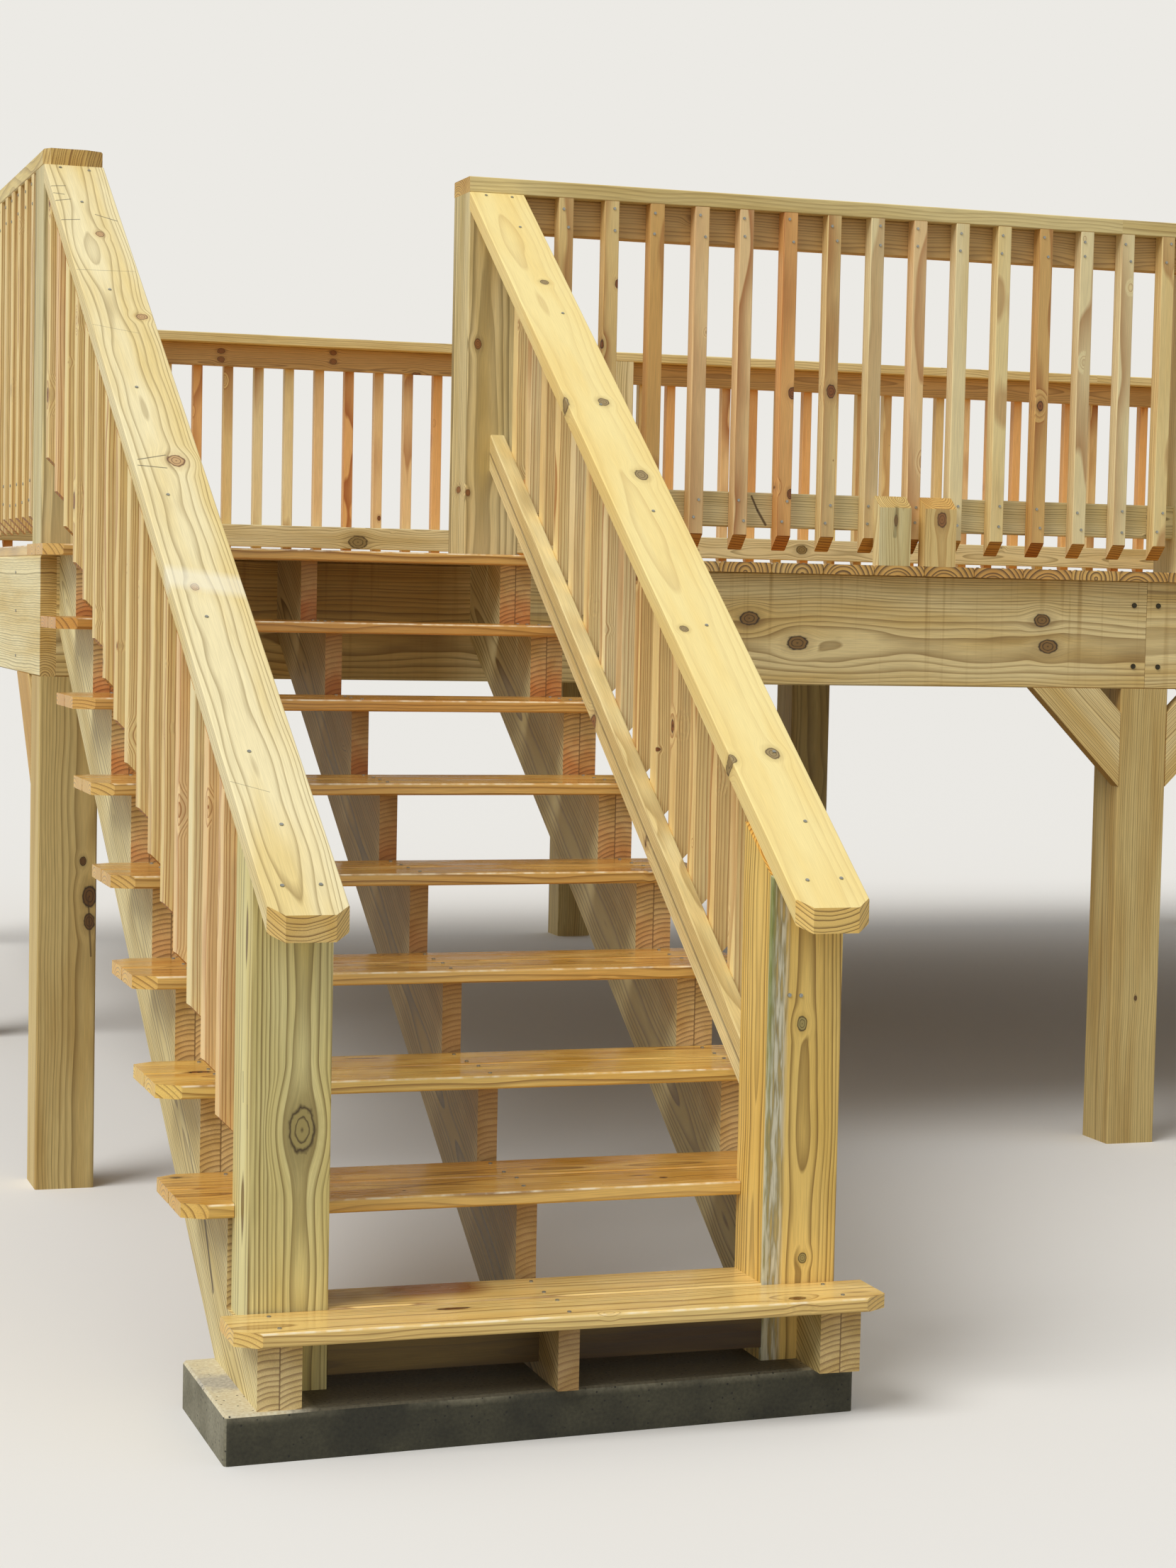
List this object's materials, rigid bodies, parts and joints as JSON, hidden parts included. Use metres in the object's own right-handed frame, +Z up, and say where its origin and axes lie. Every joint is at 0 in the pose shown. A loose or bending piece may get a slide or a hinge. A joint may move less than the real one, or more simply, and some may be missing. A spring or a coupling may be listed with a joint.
{
  "type": "wooden deck stairs",
  "caption": "Straight open-riser timber stair with doubled outer stringers, square newels and baluster railings, rising to the corner of a raised deck with the same railing round it.",
  "frame": {"origin": "on the ground under the middle of the footing, on the centreline of the stairs", "axes": "+X to the right along the treads, +Y up the stairs towards the deck, +Z up"},
  "size_m": [6.135, 7.325, 2.4645],
  "materials": {
    "concrete": "rough cast, dark face and pale top",
    "stringer_pine": "sawn and planed, unpainted",
    "tread_pine": "sawn and planed, unpainted",
    "newel_pine": "sawn and planed, unpainted",
    "cap_pine": "sawn and planed, unpainted",
    "rail_pine": "sawn and planed, unpainted",
    "baluster_pine": "sawn and planed, unpainted",
    "frame_pine": "sawn and planed, unpainted",
    "deck_pine": "sawn and planed, unpainted",
    "nail_steel": "hot-dip galvanised"
  },
  "bodies": {
    "root": {"back_posts": "frame_pine", "centre_beam": "frame_pine", "concrete_footing": "concrete", "deck_balusters_front": "baluster_pine", "deck_balusters_left": "baluster_pine", "deck_balusters_rear": "baluster_pine", "deck_balusters_right": "baluster_pine", "deck_boards": "deck_pine", "deck_cap_front": "cap_pine", "deck_cap_rear": "cap_pine", "deck_joists": "frame_pine", "deck_lower_rails": "rail_pine", "deck_newels": "newel_pine", "deck_side_caps": "cap_pine", "deck_top_rails": "rail_pine", "edge_blocks": "rail_pine", "front_posts": "frame_pine", "kicker_board": "stringer_pine", "knee_braces": "frame_pine", "landing_boards": "tread_pine", "lower_newels": "newel_pine", "rear_beam": "frame_pine", "rim_beam": "frame_pine", "side_beams": "frame_pine", "stair_balusters_left": "baluster_pine", "stair_balusters_right": "baluster_pine", "stair_cap_left": "cap_pine", "stair_cap_right": "cap_pine", "stair_lower_rails_base": "rail_pine", "stair_lower_rails_top": "rail_pine", "stair_top_rails": "rail_pine", "stringer_left_inner": "stringer_pine", "stringer_left_outer": "stringer_pine", "stringer_middle": "stringer_pine", "stringer_right_inner": "stringer_pine", "stringer_right_outer": "stringer_pine", "tread_1": "tread_pine", "tread_2": "tread_pine", "tread_3": "tread_pine", "tread_4": "tread_pine", "tread_5": "tread_pine", "tread_6": "tread_pine", "tread_7": "tread_pine", "tread_8": "tread_pine", "upper_newels": "newel_pine"}
  },
  "joints": []
}
